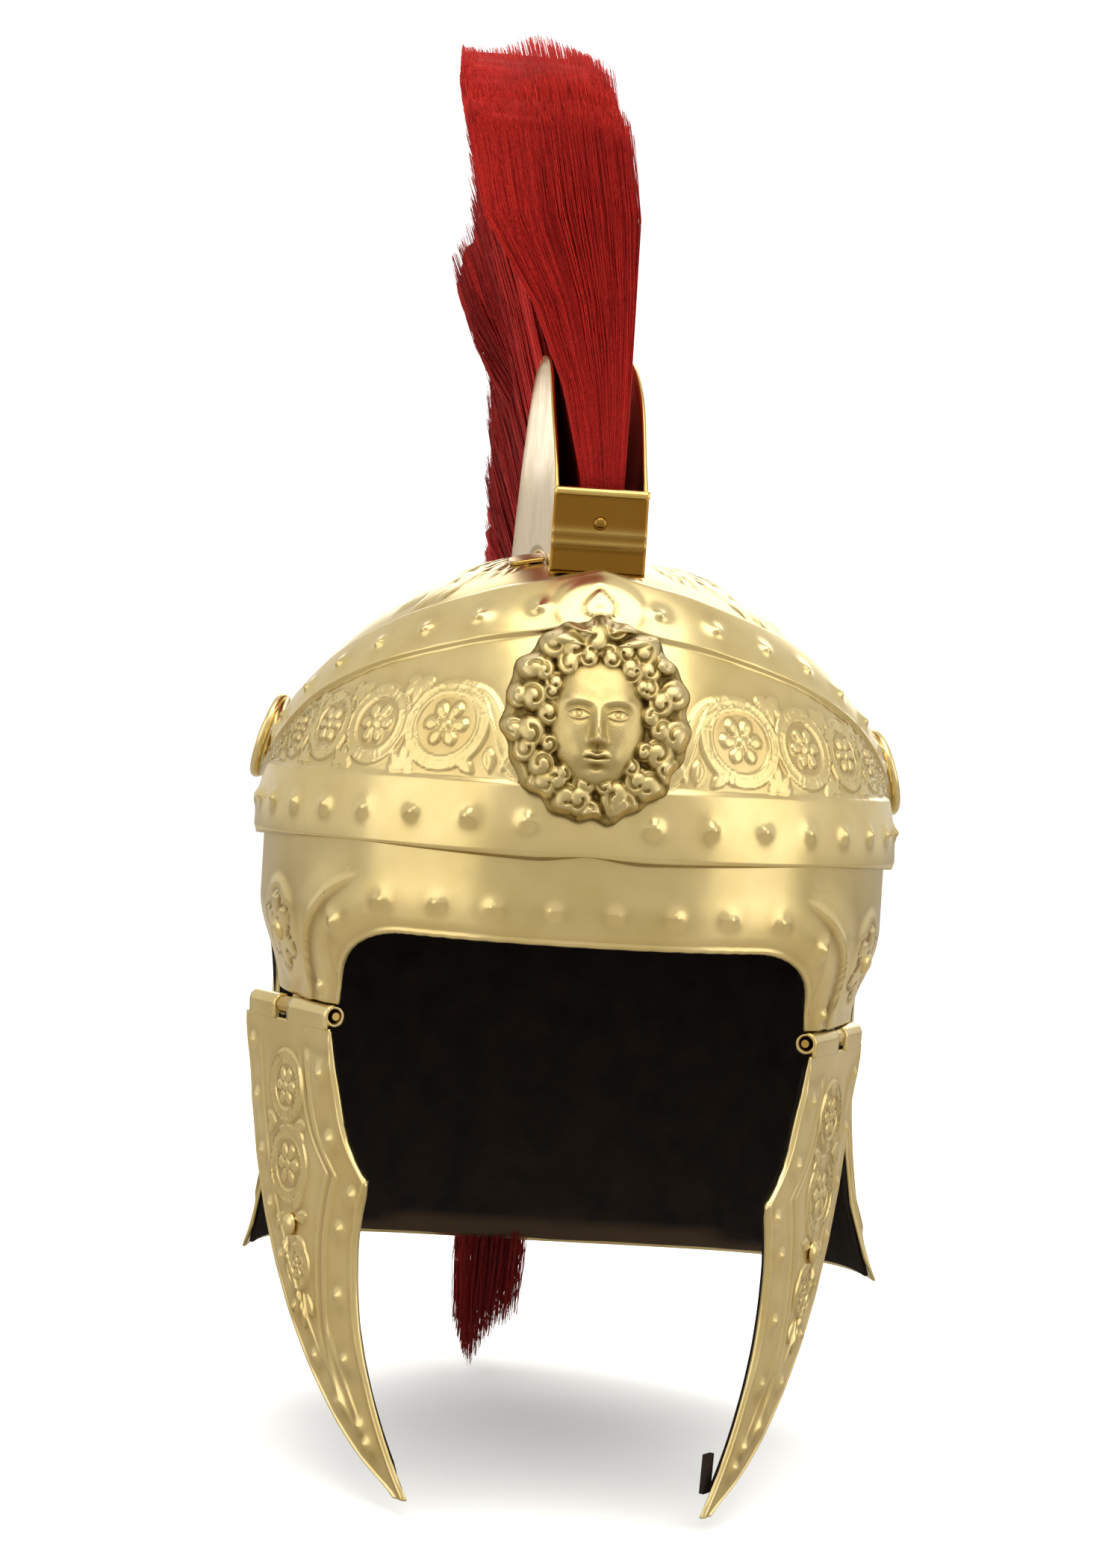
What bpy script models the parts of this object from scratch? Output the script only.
"""Parade helmet of sheet brass: bowl with neck guard, brow band, mask, cheek guards, hair crest.

Metres, +Z up. The front faces -Y and the wearer's right side is at -X. The origin is the
middle of the head opening, in the plane of the brow band's lower edge. A "turn" is the
angle round the bowl in degrees: 0 at the front, 90 over the wearer's left ear, 180 behind.
"""
import math

import bmesh
import bpy
import numpy as np
from mathutils import Matrix, Vector

# Bowl and neck guard
BOWL_HALF_WIDTH = 0.102
BOWL_HALF_LENGTH = 0.118
BOWL_HEIGHT = 0.095
DOME_FULLNESS = 2.05
SHEET = 0.0012
SEAT_GAP = 0.0005
FIT_GAP = 0.0003
BROW_DROP = 0.027
HINGE_DROP = 0.052
EAR_DROP = 0.036
NAPE_CORNER_DROP = 0.143
NAPE_DROP = 0.154
LOWER_TUCK = 0.0075
TUCK_START = 0.022
NAPE_TUCK_SHARE = 0.45
NAPE_SHIFT = 0.0055
NAPE_FLARE_SIDE = 0.0145
NAPE_FLARE_BACK = 0.019
FLARE_POWER = 6
FACE_CORNER_DEG = 50.0
CORNER_ROUND_DEG = 18.0
HINGE_REAR_DEG = 80.0
EAR_DEG = 91.0
NAPE_EDGE_DEG = 98.0
BOWL_FAN = 24
BOWL_RISE_STEPS = 8
WALL_SHARES = (1.0, 0.82, 0.62, 0.42, 0.2)
CORNER_SHARES = (1.0, 0.55, 0.25, 0.08, 0.0)
SAME_COLUMN_DEG = 1.9

# Lining
LINING_THICK = 0.0015
LINING_SETBACK = 0.0065
LINING_EDGE_MIX = 0.8

# Brow band
BAND_PEAK = 0.0865
BAND_END_DEG = 104.0
BAND_STEP_DEG = 6.5
PEAK_STAND_OFF = 0.009
LOWER_BORDER = 0.021
UPPER_BORDER = 0.0165
FRIEZE_SQUEEZE = 0.86
FLANGE_FLARE = 0.002
BORDER_RAISE = 0.0012
BORDER_CREST = 1.2
# turn in degrees, top edge as a share of BAND_PEAK
BAND_TOP = (
    (0.0, 1.0),
    (10.0, 0.955),
    (23.0, 0.92),
    (36.0, 0.865),
    (47.0, 0.815),
    (57.0, 0.745),
    (65.0, 0.68),
    (70.0, 0.62),
    (77.0, 0.52),
    (86.0, 0.44),
    (104.0, 0.40),
)

# Mask
MASK_HALF_WIDTH = 0.029
MASK_HALF_HEIGHT = 0.0315
MASK_CENTRE_Z = 0.0405
MASK_PLATE = 0.003
MASK_FACE_RISE = 0.0095
MASK_HAIR_RISE = 0.0062
MASK_UPRIGHT = 0.12
MASK_BRIDGE = 0.004
MASK_SPOKES = 48
MASK_RINGS = 15
MASK_BACK_RINGS = (0, 1, 3, 6, 10)
MASK_CURLS = 16
CURL_TWIST = 2.5
CURL_FLOOR = 0.62
HAIR_RADIUS = 0.76
HAIR_HALF_WIDTH = 0.30
FACE_HALF_WIDTH = 0.52
FACE_HALF_HEIGHT = 0.64
FACE_DROP = 0.06
# across and up as shares of the half sizes, half width, half height, rise in metres
MASK_FEATURES = (
    (0.00, -0.02, 0.07, 0.20, 0.0032),
    (0.00, -0.13, 0.11, 0.07, 0.0019),
    (0.18, 0.17, 0.14, 0.05, 0.0008),
    (0.19, 0.07, 0.11, 0.07, -0.0018),
    (0.00, -0.30, 0.13, 0.045, 0.0014),
    (0.00, -0.50, 0.14, 0.09, 0.0012),
)

# Side discs and studs
DISC_RADIUS = 0.015
DISC_THICK = 0.003
DISC_DOME = 0.0022
DISC_STEM_RADIUS = 0.005
DISC_STEM = 0.001
DISC_TURN = 98.0
DISC_HEIGHT = 0.028
STUD_RADIUS = 0.0036
STUD_RISE = 0.0022
EAR_STUD_TURN = 68.0
EAR_STUD_DROP = 0.032

# Hinge
PIN_RADIUS = 0.0013
BARREL_BORE = 0.0016
BARREL_RADIUS = 0.0034
BARREL_SETBACK = 0.0008
LOOP_RADIUS = 0.0029
BARREL_BELOW_EDGE = 0.0008
HINGE_REAR_OUTSET_R = 0.0075
HINGE_REAR_OUTSET_L = 0.0015
KNUCKLE_WIDTH = 0.008
KNUCKLE_AT = 0.42
KNUCKLE_CLEARANCE = 0.0005
STRAP_OVERLAP = 0.005

# Cheek guards
CHEEK_DROP = 0.142
CHEEK_BOW_RADIUS = 0.280
CHEEK_TUCK_IN = 0.04
CHEEK_COLUMNS = 5
CHEEK_MARGIN = 0.0028
# drop as a share of CHEEK_DROP, rear and front edges as shares of the hinge's length
CHEEK_OUTLINE = (
    (0.000, -0.05, 1.00),
    (0.085, -0.05, 1.03),
    (0.215, 0.00, 1.11),
    (0.280, 0.05, 1.20),
    (0.345, 0.10, 1.37),
    (0.400, 0.16, 1.32),
    (0.480, 0.26, 1.28),
    (0.570, 0.40, 1.28),
    (0.660, 0.57, 1.31),
    (0.750, 0.78, 1.38),
    (0.830, 1.00, 1.47),
    (0.900, 1.22, 1.57),
    (0.955, 1.45, 1.66),
    (0.985, 1.61, 1.72),
    (1.000, 1.70, 1.74),
)
CHEEK_STUD_DROP = 0.068
CHEEK_STUD_SHARE = 0.60
TAB_LENGTH = 0.012
TAB_WIDTH = 0.0045
TAB_DROP = 0.130

# Crest
CREST_FRONT_Y = -0.052
CREST_SKEW_DEG = 4.0
CREST_LENGTH = 0.150
CREST_WIDTH = 0.030
CREST_STATIONS = 15
CREST_LIFT = 0.0009
FRONT_PLATE_TOP = 0.113
FRONT_PLATE_LIP = 0.0018
CREST_PEAK = 0.161
CREST_RIVET_Z = 0.102
CREST_RIVET_SCALE = 0.6
CREST_TAB_LENGTH = 0.011
CREST_TAB_WIDTH = 0.010
CREST_TAB_AT = 0.016
# place along the crest as a share of its length, top edge as a share of CREST_PEAK
CREST_TOP = (
    (0.00, 0.70),
    (0.05, 0.76),
    (0.13, 0.855),
    (0.24, 0.94),
    (0.36, 0.99),
    (0.48, 1.00),
    (0.62, 0.955),
    (0.76, 0.86),
    (0.88, 0.725),
    (1.00, 0.53),
)

# Plume
PLUME_HEIGHT = 0.2590
PLUME_REACH = 0.222
PLUME_TAIL = 0.205
PLUME_ROOT_HALF = 0.0075
PLUME_TIP_HALF = 0.0185
PLUME_LEAN = 0.026
LEAN_POWER = 2.2
SPREAD_POWER = 2
TAIL_DRIFT = 0.0035
PLUME_LOCKS = 20
PLUME_RINGS = 5
PLUME_ROOT_START = 0.006
PLUME_BOX_SHARE = 0.72
TAIL_ROOT_SHARE = 0.96
TAIL_ROOT_RAMP = 4.0
LOCK_DEPTH = 0.0016
LOCK_STAGGER = 0.006
TAIL_CLEARANCE = 0.004
# place round the fan, then tip reach, tip height and half width as shares of the largest
PLUME_TIPS = (
    (0.00, 0.010, 0.87, 0.95),
    (0.10, 0.080, 0.96, 1.00),
    (0.22, 0.250, 1.00, 1.00),
    (0.34, 0.430, 0.98, 1.00),
    (0.45, 0.600, 0.89, 0.98),
    (0.56, 0.760, 0.73, 0.95),
    (0.66, 0.890, 0.53, 0.90),
    (0.75, 0.975, 0.31, 0.84),
    (0.83, 1.000, 0.08, 0.78),
    (0.90, 0.995, -0.20, 0.72),
    (0.96, 0.975, -0.50, 0.66),
    (1.00, 0.945, -0.79, 0.50),
)

BRASS = ("polished_brass", (0.80, 0.56, 0.20), 0.18, 1.0)
OLD_BRASS = ("antique_brass", (0.50, 0.34, 0.13), 0.32, 1.0)
LINING = ("lining_fabric", (0.045, 0.028, 0.020), 0.9, 0.0)
LEATHER = ("tie_leather", (0.06, 0.03, 0.018), 0.7, 0.0)
HAIR = ("red_horsehair", (0.42, 0.02, 0.015), 0.6, 0.0)


# Small helpers


def clear_scene():
    """Remove every object that the scene starts with."""
    for item in list(bpy.data.objects):
        bpy.data.objects.remove(item, do_unlink=True)


def material(recipe):
    """Principled material from its name, colour, roughness and metallic value."""
    name, colour, roughness, metallic = recipe
    found = bpy.data.materials.get(name)
    if found:
        return found
    made = bpy.data.materials.new(name)
    made.use_nodes = True
    shader = made.node_tree.nodes["Principled BSDF"]
    shader.inputs["Base Color"].default_value = (*colour, 1.0)
    shader.inputs["Roughness"].default_value = roughness
    shader.inputs["Metallic"].default_value = metallic
    made.diffuse_color = (*colour, 1.0)
    return made


def ease(value):
    """Smooth step from 0 to 1."""
    value = np.clip(value, 0.0, 1.0)
    return value * value * (3.0 - 2.0 * value)


def column(table, index):
    """One column of a table of rows, as an array."""
    return np.array([row[index] for row in table])


def finish(name, mesh_data, recipe, sharp_deg=35.0):
    """Closed, outward-facing, smooth-shaded object from a bmesh."""
    bmesh.ops.recalc_face_normals(mesh_data, faces=mesh_data.faces[:])
    mesh = bpy.data.meshes.new(name)
    mesh_data.to_mesh(mesh)
    mesh_data.free()
    mesh.shade_smooth()
    mesh.set_sharp_from_angle(angle=math.radians(sharp_deg))
    mesh.materials.append(material(recipe))
    made = bpy.data.objects.new(name, mesh)
    bpy.context.scene.collection.objects.link(made)
    return made


def hide_helper(item):
    """Mark an object as a cutter or a boolean operand, not a piece."""
    item.hide_render = True
    item.display_type = "WIRE"
    return item


def combine(target, helper, operation):
    """Exact Boolean of a piece with a helper object."""
    hide_helper(helper)
    boolean = target.modifiers.new(operation.lower(), "BOOLEAN")
    boolean.operation = operation
    boolean.solver = "EXACT"
    boolean.object = helper


def wall(name, outer, inner, recipe, loop=False, pole=False, sharp_deg=35.0):
    """Closed wall between two grids of points, rows by columns by 3.

    With loop the columns close round; with pole the last row is one point. The two
    halves of a row split their faces along mirrored diagonals.
    """
    rows, columns = outer.shape[:2]
    data = bmesh.new()
    sides = []
    for grid in (outer, inner):
        made = []
        for r in range(rows):
            if pole and r == rows - 1:
                made.append([data.verts.new(grid[r, 0])] * columns)
            else:
                made.append([data.verts.new(point) for point in grid[r]])
        sides.append(made)
    spans = columns if loop else columns - 1

    def face(points):
        """Face from its corners, with repeated corners dropped."""
        kept = []
        for point in points:
            if point not in kept:
                kept.append(point)
        data.faces.new(kept)

    for made in sides:
        for r in range(rows - 1):
            for c in range(spans):
                n = (c + 1) % columns
                first, second = (n, c) if c < columns // 2 else (c, n)
                face([made[r][c], made[r][n], made[r + 1][second]])
                if not (pole and r == rows - 2):
                    face([made[r][first], made[r + 1][n], made[r + 1][c]])
    a, b = sides
    for c in range(spans):
        n = (c + 1) % columns
        face([a[0][c], a[0][n], b[0][n], b[0][c]])
        if not pole:
            face([a[-1][c], a[-1][n], b[-1][n], b[-1][c]])
    if not loop:
        for c in (0, columns - 1):
            for r in range(rows - 1):
                face([a[r][c], a[r + 1][c], b[r + 1][c], b[r][c]])
    return finish(name, data, recipe, sharp_deg)


def turned(name, profile, sides, recipe):
    """Solid turned about Z from (radius, height) points; radius 0 closes an end."""
    data = bmesh.new()
    rings = []
    for radius, height in profile:
        if radius == 0.0:
            rings.append([data.verts.new((0.0, 0.0, height))])
            continue
        ring = []
        for i in range(sides):
            a = 2.0 * math.pi * i / sides
            ring.append(data.verts.new((radius * math.cos(a), radius * math.sin(a), height)))
        rings.append(ring)
    for low, high in zip(rings, rings[1:]):
        for i in range(sides):
            n = (i + 1) % sides
            if len(low) == 1:
                data.faces.new([low[0], high[n], high[i]])
            elif len(high) == 1:
                data.faces.new([low[i], low[n], high[0]])
            else:
                data.faces.new([low[i], low[n], high[n], high[i]])
    return finish(name, data, recipe)


def bar(name, outline, depth, recipe):
    """Flat outline of (x, y) points extruded from z = 0 to depth."""
    data = bmesh.new()
    low = [data.verts.new((x, y, 0.0)) for x, y in outline]
    high = [data.verts.new((x, y, depth)) for x, y in outline]
    data.faces.new(low[::-1])
    data.faces.new(high)
    for i in range(len(low)):
        n = (i + 1) % len(low)
        data.faces.new([low[i], low[n], high[n], high[i]])
    return finish(name, data, recipe)


def frame(origin, x_axis, y_axis, z_axis):
    """Placement matrix from an origin and three unit axes."""
    rotation = Matrix((x_axis, y_axis, z_axis)).transposed().to_4x4()
    return Matrix.Translation(origin) @ rotation


# Bowl surface


def nape_share(turn):
    """0 in front of the ears, 1 on the neck guard."""
    return ease((np.abs(turn) - EAR_DEG) / (NAPE_EDGE_DEG - EAR_DEG))


def bowl_edge(turn):
    """Height of the bowl's lower edge at a turn."""
    turn = np.abs(turn)
    around = np.clip((turn - FACE_CORNER_DEG + CORNER_ROUND_DEG) / CORNER_ROUND_DEG, 0.0, 1.0)
    corner = 1.0 - np.sqrt(1.0 - around**2)
    ear = ease((turn - HINGE_REAR_DEG) / (EAR_DEG - HINGE_REAR_DEG))
    back = ease((turn - NAPE_EDGE_DEG) / (180.0 - NAPE_EDGE_DEG))
    edge = -BROW_DROP + (BROW_DROP - HINGE_DROP) * corner
    edge = edge + (HINGE_DROP - EAR_DROP) * ear
    edge = edge + (EAR_DROP - NAPE_CORNER_DROP) * nape_share(turn)
    return edge + (NAPE_CORNER_DROP - NAPE_DROP) * back


def wall_point(turn, z, offset):
    """Point of the bowl's wall below the equator."""
    a = np.radians(turn)
    nape = nape_share(turn)
    back = np.maximum(-np.cos(a), 0.0) ** 2
    tuck = LOWER_TUCK * ease((-z - TUCK_START) / (HINGE_DROP - TUCK_START))
    tuck = tuck * (1.0 - nape + NAPE_TUCK_SHARE * nape)
    low = np.clip(-z / NAPE_DROP, 0.0, 1.0)
    flare = NAPE_FLARE_SIDE + (NAPE_FLARE_BACK - NAPE_FLARE_SIDE) * back
    grow = offset - tuck + flare * nape * low**FLARE_POWER
    x = (BOWL_HALF_WIDTH + grow) * np.sin(a) + NAPE_SHIFT * nape * low**2
    y = -(BOWL_HALF_LENGTH + grow) * np.cos(a)
    return np.stack([x, y, z + 0.0 * x], axis=-1)


def dome_point(turn, z, offset):
    """Point of the dome at a height above the equator."""
    a = np.radians(turn)
    rise = np.clip(z / (BOWL_HEIGHT + offset), 0.0, 1.0)
    shrink = (1.0 - rise**DOME_FULLNESS) ** (1.0 / DOME_FULLNESS)
    x = (BOWL_HALF_WIDTH + offset) * shrink * np.sin(a)
    y = -(BOWL_HALF_LENGTH + offset) * shrink * np.cos(a)
    return np.stack([x, y, z + 0.0 * x], axis=-1)


def dome_height(x, y, offset=0.0):
    """Height of the dome over a point of the plan."""
    across = (x / (BOWL_HALF_WIDTH + offset)) ** 2 + (y / (BOWL_HALF_LENGTH + offset)) ** 2
    shrink = np.sqrt(np.clip(across, 0.0, 1.0))
    return (BOWL_HEIGHT + offset) * (1.0 - shrink**DOME_FULLNESS) ** (1.0 / DOME_FULLNESS)


def bowl_turns(fan):
    """Columns round the bowl: an even fan, with the edge's own turning points added."""
    corners = [FACE_CORNER_DEG - CORNER_ROUND_DEG * share for share in CORNER_SHARES]
    corners += [HINGE_REAR_DEG, EAR_DEG, 0.5 * (EAR_DEG + NAPE_EDGE_DEG), NAPE_EDGE_DEG]
    half = list(corners)
    for turn in np.linspace(0.0, 180.0, fan + 1):
        if min(abs(turn - corner) for corner in corners) > SAME_COLUMN_DEG:
            half.append(turn)
    half = sorted(half)
    return np.array(half + [-turn for turn in half[-2:0:-1]])


def bowl_grid(turns, offset, steps, setback=0.0):
    """Rows of points from the lower edge up to the crown."""
    edge = bowl_edge(turns)
    lowest = edge
    if setback > 0.0:
        next_row = edge * WALL_SHARES[1]
        lowest = np.minimum(edge + setback, edge + LINING_EDGE_MIX * (next_row - edge))
    rows = [wall_point(turns, lowest, offset)]
    for share in WALL_SHARES[1:]:
        rows.append(wall_point(turns, edge * share, offset))
    for step in range(steps):
        rise = math.sin(0.5 * math.pi * step / steps) ** (2.0 / DOME_FULLNESS)
        z = (BOWL_HEIGHT + offset) * rise
        rows.append(dome_point(turns, z + 0.0 * turns, offset))
    rows.append(np.array([(0.0, 0.0, BOWL_HEIGHT + offset)] * len(turns)))
    return np.array(rows)


def make_bowl():
    """Skull bowl and neck guard, raised from one sheet."""
    turns = bowl_turns(BOWL_FAN)
    outer = bowl_grid(turns, 0.0, BOWL_RISE_STEPS)
    inner = bowl_grid(turns, -SHEET, BOWL_RISE_STEPS)
    return wall("skull_bowl", outer, inner, BRASS, loop=True, pole=True)


def make_lining():
    """Cloth lining inside the bowl, set back from its edge."""
    turns = bowl_turns(BOWL_FAN // 2)
    outside = -(SHEET + SEAT_GAP)
    steps = BOWL_RISE_STEPS // 2
    outer = bowl_grid(turns, outside, steps, LINING_SETBACK)
    inner = bowl_grid(turns, outside - LINING_THICK, steps, LINING_SETBACK)
    return wall("bowl_lining", outer, inner, LINING, loop=True, pole=True)


# Brow band


def band_top(turn):
    """Height of the band's upper edge."""
    return BAND_PEAK * np.interp(np.abs(turn), column(BAND_TOP, 0), column(BAND_TOP, 1))


def band_stand_off(turn, z):
    """How far the band leaves the dome towards its peak."""
    upper = np.clip(z / BAND_PEAK, 0.0, 1.0) ** 2
    front = np.clip(np.cos(np.radians(turn)), 0.0, 1.0) ** 2
    return PEAK_STAND_OFF * upper * front


def band_rows(turn):
    """Heights and reliefs of the band's section, from the flange to the upper edge."""
    top = band_top(turn)
    narrow = np.minimum(1.0, FRIEZE_SQUEEZE * top / (LOWER_BORDER + UPPER_BORDER))
    lower = LOWER_BORDER * narrow
    upper = UPPER_BORDER * narrow
    return (
        (0.0 * top, FLANGE_FLARE),
        (0.45 * lower, 0.6 * FLANGE_FLARE),
        (0.9 * lower, 0.55 * FLANGE_FLARE),
        (lower, 0.0),
        (0.5 * (lower + top - upper), 0.0),
        (top - upper, 0.0),
        (top - 0.9 * upper, BORDER_RAISE),
        (top - 0.35 * upper, BORDER_CREST * BORDER_RAISE),
        (top, 0.6 * BORDER_RAISE),
    )


def band_grid(turns, inside):
    """Grid of the band's inner face, or of its outer face one sheet further out."""
    lift = SEAT_GAP if inside else SEAT_GAP + SHEET
    rows = []
    for z, relief in band_rows(turns):
        offset = lift + relief + band_stand_off(turns, z)
        rows.append(dome_point(turns, z, offset))
    return np.array(rows)


def band_front(x, z):
    """Y in front of the band near its middle, bridging the steps at its borders."""
    offset = SEAT_GAP + SHEET
    for _ in range(3):
        half = dome_point(90.0 + 0.0 * x, z, offset)[..., 0]
        turn = np.degrees(np.arcsin(np.clip(x / half, -1.0, 1.0)))
        offset = SEAT_GAP + SHEET + band_stand_off(turn, z)
    rows = band_rows(turn)
    heights = np.array([row[0] for row in rows])
    reliefs = [row[1] for row in rows]
    lift = []
    for i, height in enumerate(z):
        span = (height - MASK_BRIDGE, height, height + MASK_BRIDGE)
        lift.append(max(np.interp(span, heights[:, i], reliefs)))
    return dome_point(turn, z, offset + np.array(lift))[..., 1]


def make_band():
    """Pointed brow band with a flared lower flange and a raised upper border."""
    count = int(round(BAND_END_DEG / BAND_STEP_DEG))
    turns = np.linspace(-BAND_END_DEG, BAND_END_DEG, 2 * count + 1)
    outer = band_grid(turns, inside=False)
    inner = band_grid(turns, inside=True)
    return wall("brow_band", outer, inner, BRASS, sharp_deg=25.0)


# Mask


def mask_relief(u, v):
    """Relief of the cast mask over its unit outline, as a depth in metres."""
    radius = np.hypot(u, v)
    angle = np.arctan2(u, v)
    oval = (u / FACE_HALF_WIDTH) ** 2 + ((v + FACE_DROP) / FACE_HALF_HEIGHT) ** 2
    face = np.sqrt(np.clip(1.0 - oval, 0.0, 1.0))
    wave = np.abs(np.cos(0.5 * MASK_CURLS * angle + CURL_TWIST * radius))
    curls = CURL_FLOOR + (1.0 - CURL_FLOOR) * wave
    ring = np.clip(1.0 - ((radius - HAIR_RADIUS) / HAIR_HALF_WIDTH) ** 2, 0.0, 1.0)
    relief = MASK_FACE_RISE * face + MASK_HAIR_RISE * curls * ring * (1.0 - face)
    for across, up, wide, tall, rise in MASK_FEATURES:
        far = ((np.abs(u) - across) / wide) ** 2 + ((v - up) / tall) ** 2
        relief = relief + rise * np.exp(-far)
    return relief


def mask_grid(radii, front):
    """Polar grid of the mask, on the band or standing out from it."""
    angle = np.linspace(0.0, 2.0 * math.pi, MASK_SPOKES, endpoint=False)
    edge = 1.0 - 0.05 * np.abs(np.sin(0.5 * MASK_CURLS * angle))
    rows = []
    for radius in radii:
        u = radius * edge * np.sin(angle)
        v = radius * edge * np.cos(angle)
        x = MASK_HALF_WIDTH * u
        z = MASK_CENTRE_Z + MASK_HALF_HEIGHT * v
        y = band_front(x, z) - SEAT_GAP
        if front:
            rise = MASK_UPRIGHT * MASK_HALF_HEIGHT * (1.0 + v)
            y = y - MASK_PLATE - rise - mask_relief(u, v)
        rows.append(np.stack([x, y, z], axis=-1))
    return np.array(rows)


def make_mask():
    """Cast mask with curled hair, on the middle of the band."""
    radii = np.linspace(1.0, 0.0, MASK_RINGS + 1)
    outer = mask_grid(radii, front=True)
    inner = mask_grid(radii, front=False)
    data = bmesh.new()
    front = [[data.verts.new(point) for point in row] for row in outer[:-1]]
    front.append([data.verts.new(outer[-1, 0])] * MASK_SPOKES)
    back = [[data.verts.new(point) for point in inner[row]] for row in MASK_BACK_RINGS]
    back.append([data.verts.new(inner[-1, 0])] * MASK_SPOKES)
    for rows in (front, back):
        for low, high in zip(rows, rows[1:]):
            for i in range(MASK_SPOKES):
                n = (i + 1) % MASK_SPOKES
                corners = [low[i], low[n], high[n], high[i]]
                if high[n] is high[i]:
                    corners = corners[:3]
                data.faces.new(corners)
    for i in range(MASK_SPOKES):
        n = (i + 1) % MASK_SPOKES
        data.faces.new([front[0][i], front[0][n], back[0][n], back[0][i]])
    return finish("face_mask", data, OLD_BRASS)


# Discs and studs


def surface_frame(point_at, turn, z, offset):
    """Placement on the bowl's surface with local Z along its outward normal."""
    step = 0.5
    rise = 0.001
    here = Vector(point_at(turn, z, offset))
    along = Vector(point_at(turn + step, z, offset) - point_at(turn - step, z, offset))
    up = Vector(point_at(turn, z + rise, offset) - point_at(turn, z - rise, offset))
    normal = along.cross(up).normalized()
    if normal.dot(Vector((here.x, here.y, 0.0))) < 0.0:
        normal.negate()
    side = Vector((0.0, 0.0, 1.0)).cross(normal).normalized()
    return frame(here, side, normal.cross(side), normal)


def make_disc(name, side):
    """Round side disc with a domed face, on its short stem."""
    roll = 0.25 * DISC_THICK
    profile = [(0.0, 0.0), (DISC_STEM_RADIUS, 0.0), (DISC_STEM_RADIUS, DISC_STEM)]
    profile.append((DISC_RADIUS - roll, DISC_STEM))
    profile.append((DISC_RADIUS, DISC_STEM + roll))
    profile.append((DISC_RADIUS, DISC_STEM + DISC_THICK - roll))
    for step in range(4):
        share = 1.0 - step / 4.0
        rise = DISC_DOME * (1.0 - share * share)
        profile.append(((DISC_RADIUS - roll) * share, DISC_STEM + DISC_THICK + rise))
    profile.append((0.0, DISC_STEM + DISC_THICK + DISC_DOME))
    made = turned(name, profile, 24, BRASS)
    offset = SEAT_GAP + SHEET + BORDER_CREST * BORDER_RAISE + FIT_GAP
    made.matrix_world = surface_frame(dome_point, side * DISC_TURN, DISC_HEIGHT, offset)
    return made


def stud_profile():
    """Domed rivet head."""
    return [
        (0.0, 0.0),
        (STUD_RADIUS, 0.0),
        (0.92 * STUD_RADIUS, 0.45 * STUD_RISE),
        (0.62 * STUD_RADIUS, 0.84 * STUD_RISE),
        (0.0, STUD_RISE),
    ]


def make_ear_stud(name, side):
    """Domed rivet on the bowl above the hinge."""
    made = turned(name, stud_profile(), 12, BRASS)
    turn = side * EAR_STUD_TURN
    made.matrix_world = surface_frame(wall_point, turn, -EAR_STUD_DROP, FIT_GAP)
    return made


# Hinges and cheek guards


def hinge_axis(side):
    """Axis at the hinge's rear end, its unit vectors and its length."""
    front = Vector(wall_point(side * (FACE_CORNER_DEG + 1.0), -HINGE_DROP, -0.5 * SHEET))
    rear = Vector(wall_point(side * HINGE_REAR_DEG, -HINGE_DROP, -0.5 * SHEET))
    outset = HINGE_REAR_OUTSET_R if side < 0.0 else HINGE_REAR_OUTSET_L
    rear += outset * Vector((rear.x, rear.y, 0.0)).normalized()
    forward = (front - rear).normalized()
    outward = Vector((-forward.y, forward.x, 0.0)).normalized()
    if outward.x * side < 0.0:
        outward.negate()
    drop = BARREL_BELOW_EDGE + BARREL_RADIUS
    origin = rear - Vector((0.0, 0.0, drop))
    return origin, forward, outward, (front - rear).length


def hinge_matrix(side, along=0.0):
    """Placement with local X outward, local Y up and local Z along the axis."""
    origin, forward, outward, _ = hinge_axis(side)
    return frame(origin + forward * along, outward, Vector((0.0, 0.0, 1.0)), forward)


def hook_outline(reach, top):
    """Strap outline that comes down and curls round the pin, in the hinge's section."""
    inner = BARREL_BORE
    outer = LOOP_RADIUS
    steps = 10
    start = math.pi
    sweep = math.radians(300.0)
    bend = BARREL_RADIUS + BARREL_BELOW_EDGE - FIT_GAP
    outside = [(reach - (outer - inner), top), (reach - (outer - inner), bend)]
    inside = [(reach, top), (reach, bend)]
    for i in range(steps + 1):
        a = start + sweep * i / steps
        outside.append((outer * math.cos(a), outer * math.sin(a)))
        inside.append((inner * math.cos(a), inner * math.sin(a)))
    return outside + inside[::-1]


def make_hinge_tongue(name, side):
    """Short strap inside the bowl's edge whose end curls round the pin."""
    length = hinge_axis(side)[3]
    start = KNUCKLE_AT * length - 0.5 * KNUCKLE_WIDTH
    matrix = hinge_matrix(side, start)
    inverse = matrix.inverted()
    nearest = -1.0
    top = BARREL_RADIUS + BARREL_BELOW_EDGE + STRAP_OVERLAP
    for turn in np.linspace(FACE_CORNER_DEG, HINGE_REAR_DEG, 61):
        for z in (-HINGE_DROP, -HINGE_DROP + STRAP_OVERLAP):
            local = inverse @ Vector(wall_point(side * turn, z, -SHEET - FIT_GAP))
            if -0.001 < local.z < KNUCKLE_WIDTH + 0.001:
                nearest = local.x if nearest == -1.0 else min(nearest, local.x)
    outline = hook_outline(min(nearest, -BARREL_BORE), top)
    made = bar(name, outline, KNUCKLE_WIDTH, BRASS)
    made.matrix_world = matrix
    return made


def make_hinge_pin(name, side):
    """Pin through the cheek guard's barrel and the strap's loop."""
    length = hinge_axis(side)[3]
    profile = [(0.0, 0.0), (PIN_RADIUS, 0.0), (PIN_RADIUS, length), (0.0, length)]
    made = turned(name, profile, 10, BRASS)
    made.matrix_world = hinge_matrix(side)
    return made


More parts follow.
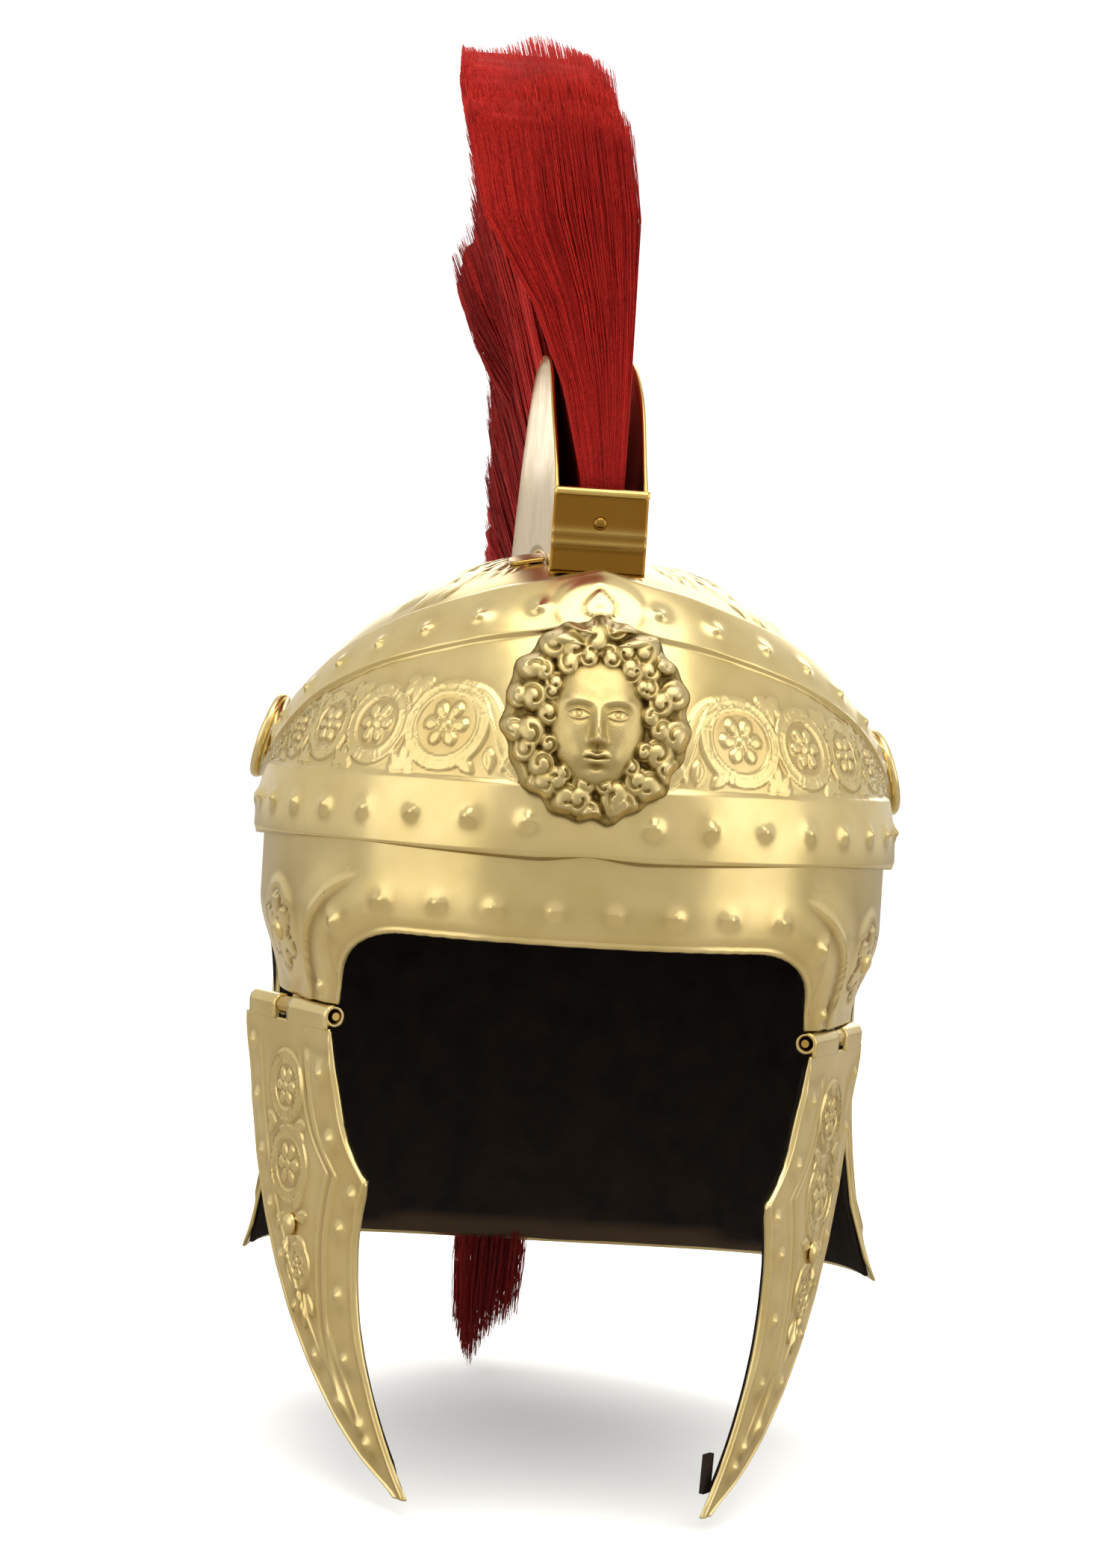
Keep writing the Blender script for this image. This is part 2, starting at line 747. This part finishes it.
def cheek_point(length, share_along, drop, offset):
    """Point of the cheek plate in the hinge's frame: outward, up, forward."""
    along = share_along * length
    bow = (along - 0.5 * length) ** 2 / (2.0 * CHEEK_BOW_RADIUS)
    bow = bow * ease(drop / (0.2 * CHEEK_DROP))
    outward = BARREL_RADIUS - SHEET + offset - bow - CHEEK_TUCK_IN * drop
    return np.stack([outward + 0.0 * along, -drop + 0.0 * along, along], axis=-1)


def cheek_edges(drop_share):
    """Rear and front edge of the cheek guard as shares of the hinge's length."""
    drops = column(CHEEK_OUTLINE, 0)
    rear = np.interp(drop_share, drops, column(CHEEK_OUTLINE, 1))
    front = np.interp(drop_share, drops, column(CHEEK_OUTLINE, 2))
    return rear, front


def cheek_grid(length, offset, drops, margin):
    """Grid of one face of the cheek plate or of its lining."""
    across = np.linspace(0.0, 1.0, CHEEK_COLUMNS)
    rows = []
    for drop in drops:
        rear, front = cheek_edges(drop / CHEEK_DROP)
        inset = min(margin / length, 0.35 * (front - rear))
        shares = rear + inset + (front - rear - 2.0 * inset) * across
        rows.append(cheek_point(length, shares, drop, offset))
    return np.array(rows)


def tube(name, start, end):
    """Barrel segment along local Z with an open bore."""
    rings = [
        (BARREL_BORE, start),
        (BARREL_RADIUS, start),
        (BARREL_RADIUS, end),
        (BARREL_BORE, end),
        (BARREL_BORE, start),
    ]
    sides = 12
    data = bmesh.new()
    made = []
    for radius, height in rings[:-1]:
        ring = []
        for i in range(sides):
            a = 2.0 * math.pi * (i + 0.5) / sides
            ring.append(data.verts.new((radius * math.cos(a), radius * math.sin(a), height)))
        made.append(ring)
    made.append(made[0])
    for low, high in zip(made, made[1:]):
        for i in range(sides):
            n = (i + 1) % sides
            data.faces.new([low[i], low[n], high[n], high[i]])
    return finish(name, data, BRASS)


def make_cheek_guard(name, side):
    """Cheek guard: a bowed plate with a two-part barrel and a notch for the strap."""
    length = hinge_axis(side)[3]
    matrix = hinge_matrix(side)
    drops = CHEEK_DROP * column(CHEEK_OUTLINE, 0)
    outer = cheek_grid(length, 0.5 * SHEET, drops, 0.0)
    inner = cheek_grid(length, -0.5 * SHEET, drops, 0.0)
    made = wall(name, outer, inner, BRASS)
    made.matrix_world = matrix
    barrel = tube(name + "_barrel", BARREL_SETBACK, length - BARREL_SETBACK)
    barrel.matrix_world = matrix
    combine(made, barrel, "UNION")
    notch = KNUCKLE_WIDTH + 2.0 * KNUCKLE_CLEARANCE
    reach = 2.0 * BARREL_RADIUS
    deep = BARREL_RADIUS + KNUCKLE_CLEARANCE
    corners = [(-reach, -deep), (reach, -deep), (reach, reach), (-reach, reach)]
    cutter = bar(name + "_notch", corners, notch, BRASS)
    start = KNUCKLE_AT * length - 0.5 * notch
    cutter.matrix_world = matrix @ Matrix.Translation((0.0, 0.0, start))
    combine(made, cutter, "DIFFERENCE")
    return made


def make_cheek_lining(name, side):
    """Cloth behind the cheek plate."""
    length = hinge_axis(side)[3]
    shares = column(CHEEK_OUTLINE, 0)
    first = BARREL_RADIUS + LOOP_RADIUS + KNUCKLE_CLEARANCE
    kept = shares[(CHEEK_DROP * shares > first + 0.002) & (shares < 0.98)]
    drops = np.concatenate([[first], CHEEK_DROP * kept])
    face = -0.5 * SHEET - SEAT_GAP
    outer = cheek_grid(length, face, drops, CHEEK_MARGIN)
    inner = cheek_grid(length, face - LINING_THICK, drops, CHEEK_MARGIN)
    made = wall(name, outer, inner, LINING)
    made.matrix_world = hinge_matrix(side)
    return made


def cheek_surface(length, share, drop, offset):
    """Placement on the cheek plate with local Z outward, in the hinge's frame."""
    here = Vector(cheek_point(length, share, drop, offset))
    ahead = Vector(cheek_point(length, share + 0.02, drop, offset))
    along = (ahead - here).normalized()
    below = Vector(cheek_point(length, share, drop + 0.001, offset))
    down = (below - here).normalized()
    normal = along.cross(down).normalized()
    if normal.x < 0.0:
        normal.negate()
    return frame(here, along, normal.cross(along), normal)


def make_cheek_stud(name, side):
    """Domed rivet in the middle of the cheek guard."""
    length = hinge_axis(side)[3]
    made = turned(name, stud_profile(), 12, BRASS)
    local = cheek_surface(length, CHEEK_STUD_SHARE, CHEEK_STUD_DROP, 0.5 * SHEET + FIT_GAP)
    made.matrix_world = hinge_matrix(side) @ local
    return made


def make_tie_tab(name, side):
    """Leather tab behind the front edge near the cheek guard's tip."""
    length = hinge_axis(side)[3]
    front = cheek_edges(TAB_DROP / CHEEK_DROP)[1]
    behind = -0.5 * SHEET - 2.0 * SEAT_GAP - LINING_THICK
    corners = [(-0.5 * TAB_WIDTH, -0.5 * TAB_LENGTH), (0.5 * TAB_WIDTH, -0.5 * TAB_LENGTH)]
    corners += [(0.5 * TAB_WIDTH, 0.5 * TAB_LENGTH), (-0.5 * TAB_WIDTH, 0.5 * TAB_LENGTH)]
    made = bar(name, corners, LINING_THICK, LEATHER)
    local = cheek_surface(length, front, TAB_DROP, behind - LINING_THICK)
    made.matrix_world = hinge_matrix(side) @ local
    return made


# Crest


def crest_matrix():
    """Placement of the crest: local X to the wearer's left, local Y to the back."""
    turn = Matrix.Rotation(math.radians(CREST_SKEW_DEG), 4, "Z")
    return Matrix.Translation((0.0, CREST_FRONT_Y, 0.0)) @ turn


def crest_ground(across, along):
    """Height of the dome under a place in the crest's frame."""
    turn = math.radians(CREST_SKEW_DEG)
    x = across * math.cos(turn) - along * math.sin(turn)
    y = CREST_FRONT_Y + across * math.sin(turn) + along * math.cos(turn)
    return float(dome_height(x, y))


def crest_top(along):
    """Height of the crest box's upper edge."""
    share = along / CREST_LENGTH
    return CREST_PEAK * float(np.interp(share, column(CREST_TOP, 0), column(CREST_TOP, 1)))


def crest_section(along):
    """U section of the crest box, as (across, height) points."""
    half = 0.5 * CREST_WIDTH
    left = crest_ground(-half, along) + CREST_LIFT
    right = crest_ground(half, along) + CREST_LIFT
    middle = crest_ground(0.0, along) + CREST_LIFT
    top = crest_top(along)
    floor = middle + SHEET
    return [
        (-half, left),
        (0.0, middle),
        (half, right),
        (half, top),
        (half - SHEET, top),
        (half - SHEET, floor),
        (SHEET - half, floor),
        (SHEET - half, top),
        (-half, top),
    ]


def make_crest_box():
    """Open channel that follows the dome and holds the plume."""
    data = bmesh.new()
    rings = []
    for along in np.linspace(0.0, CREST_LENGTH, CREST_STATIONS):
        section = crest_section(along)
        rings.append([data.verts.new((x, along, z)) for x, z in section])
    count = len(rings[0])
    for low, high in zip(rings, rings[1:]):
        for i in range(count):
            n = (i + 1) % count
            data.faces.new([low[i], low[n], high[n], high[i]])
    data.faces.new(rings[0])
    data.faces.new(rings[-1])
    made = finish("crest_box", data, BRASS)
    made.matrix_world = crest_matrix()
    return made


def make_crest_front():
    """Front plate of the crest with its top edge rolled forward."""
    half = 0.5 * CREST_WIDTH
    back = -FIT_GAP
    face = back - SHEET
    foot = max(crest_ground(x, face) for x in (-half, 0.0, half)) + SEAT_GAP
    profile = [(face, foot), (back, foot)]
    for step in range(7):
        a = math.radians(180.0 * step / 6.0)
        middle = back - FRONT_PLATE_LIP
        top = FRONT_PLATE_TOP - FRONT_PLATE_LIP
        profile.append((middle + FRONT_PLATE_LIP * math.cos(a), top + FRONT_PLATE_LIP * math.sin(a)))
    profile.append((face - 0.5 * FRONT_PLATE_LIP, FRONT_PLATE_TOP - 1.6 * FRONT_PLATE_LIP))
    profile.append((face, FRONT_PLATE_TOP - 1.9 * FRONT_PLATE_LIP))
    made = bar("crest_front", profile, CREST_WIDTH, BRASS)
    turn = Matrix(((0.0, 0.0, 1.0), (1.0, 0.0, 0.0), (0.0, 1.0, 0.0))).to_4x4()
    made.matrix_world = crest_matrix() @ Matrix.Translation((-half, 0.0, 0.0)) @ turn
    return made


def make_crest_rivet():
    """Small domed rivet in the front plate."""
    made = turned("crest_rivet", stud_profile(), 12, BRASS)
    face = -FIT_GAP - SHEET - FIT_GAP
    forward = frame(
        Vector((0.0, face, CREST_RIVET_Z)),
        Vector((1.0, 0.0, 0.0)),
        Vector((0.0, 0.0, 1.0)),
        Vector((0.0, -1.0, 0.0)),
    )
    made.matrix_world = crest_matrix() @ forward @ Matrix.Scale(CREST_RIVET_SCALE, 4)
    return made


def make_crest_tab():
    """Foot tab on the wearer's right side of the crest box."""
    half = 0.5 * CREST_WIDTH + FIT_GAP
    rows = []
    for lift in (SEAT_GAP + SHEET, SEAT_GAP):
        grid = []
        for along in (CREST_TAB_AT, CREST_TAB_AT + CREST_TAB_WIDTH):
            line = []
            for step in range(3):
                across = -half - CREST_TAB_LENGTH * step / 2.0
                line.append((across, along, crest_ground(across, along) + lift))
            grid.append(line)
        rows.append(np.array(grid))
    made = wall("crest_tab", rows[0], rows[1], BRASS)
    made.matrix_world = crest_matrix()
    return made


# Plume


def plume_tip(place):
    """Reach, height and half width of the plume's outline at a place round the fan."""
    places = column(PLUME_TIPS, 0)
    reach = PLUME_REACH * np.interp(place, places, column(PLUME_TIPS, 1))
    height = PLUME_HEIGHT * np.interp(place, places, column(PLUME_TIPS, 2))
    half = PLUME_TIP_HALF * np.interp(place, places, column(PLUME_TIPS, 3))
    return reach, max(height, -PLUME_TAIL), half


def plume_root(place):
    """Reach and height of the hair's root: in the crest box, then down the bowl's back."""
    if place <= PLUME_BOX_SHARE:
        share = place / PLUME_BOX_SHARE
        along = PLUME_ROOT_START + (CREST_LENGTH - PLUME_ROOT_START) * share
        return along, crest_ground(0.0, along) + CREST_LIFT + SHEET + SEAT_GAP
    share = (place - PLUME_BOX_SHARE) / (1.0 - PLUME_BOX_SHARE)
    height = crest_ground(0.0, CREST_LENGTH) * (1.0 - share)
    height = height - TAIL_ROOT_SHARE * PLUME_TAIL * share
    if height >= 0.0:
        back = dome_point(180.0, height, TAIL_CLEARANCE)[1]
    else:
        back = wall_point(180.0, max(height, -NAPE_DROP), TAIL_CLEARANCE)[1]
    along = (back - CREST_FRONT_Y) / math.cos(math.radians(CREST_SKEW_DEG))
    past_box = CREST_LENGTH + TAIL_CLEARANCE * min(TAIL_ROOT_RAMP * share, 1.0)
    return max(along, past_box), height


def plume_lean(height):
    """Sideways lean of the hair above the front plate, and of the tail."""
    above = max(height - FRONT_PLATE_TOP, 0.0) / (PLUME_HEIGHT - FRONT_PLATE_TOP)
    below = max(-height, 0.0) / PLUME_TAIL
    return -PLUME_LEAN * above**LEAN_POWER - TAIL_DRIFT * below


def plume_side(side):
    """Grid of one side of the plume, ridged into locks."""
    stations = 2 * PLUME_LOCKS + 1
    rings = [(v / PLUME_RINGS, 1.0) for v in range(PLUME_RINGS + 1)]
    rings.append((1.03, 0.45))
    rows = []
    for station in range(stations):
        place = station / (stations - 1.0)
        ridge = 1.0 if station % 2 else -1.0
        root = np.array(plume_root(place))
        reach, height, tip_half = plume_tip(place)
        tip = np.array((reach, height))
        tip = tip + (tip - root) / np.linalg.norm(tip - root) * LOCK_STAGGER * ridge
        line = []
        for out, full in rings:
            along, height = root + (tip - root) * out
            spread = ease(out) ** SPREAD_POWER
            half = PLUME_ROOT_HALF + (tip_half - PLUME_ROOT_HALF) * spread
            half = (half + ridge * LOCK_DEPTH * (0.3 + 0.7 * min(out, 1.0))) * full
            line.append((side * half + plume_lean(height), along, height))
        rows.append(line)
    return np.array(rows)


def make_plume():
    """Horsehair crest: a fan of locks that ends in a tail behind the neck guard."""
    made = wall("plume", plume_side(1.0), plume_side(-1.0), HAIR)
    made.matrix_world = crest_matrix()
    return made


def build():
    """Make every piece of the helmet."""
    clear_scene()
    make_bowl()
    make_lining()
    make_band()
    make_mask()
    for label, side in (("r", -1.0), ("l", 1.0)):
        make_disc("side_disc_" + label, side)
        make_ear_stud("ear_stud_" + label, side)
        make_hinge_tongue("hinge_tongue_" + label, side)
        make_hinge_pin("hinge_pin_" + label, side)
        make_cheek_guard("cheek_guard_" + label, side)
        make_cheek_lining("cheek_lining_" + label, side)
        make_cheek_stud("cheek_stud_" + label, side)
    make_tie_tab("tie_tab", 1.0)
    make_crest_box()
    make_crest_front()
    make_crest_rivet()
    make_crest_tab()
    make_plume()


build()
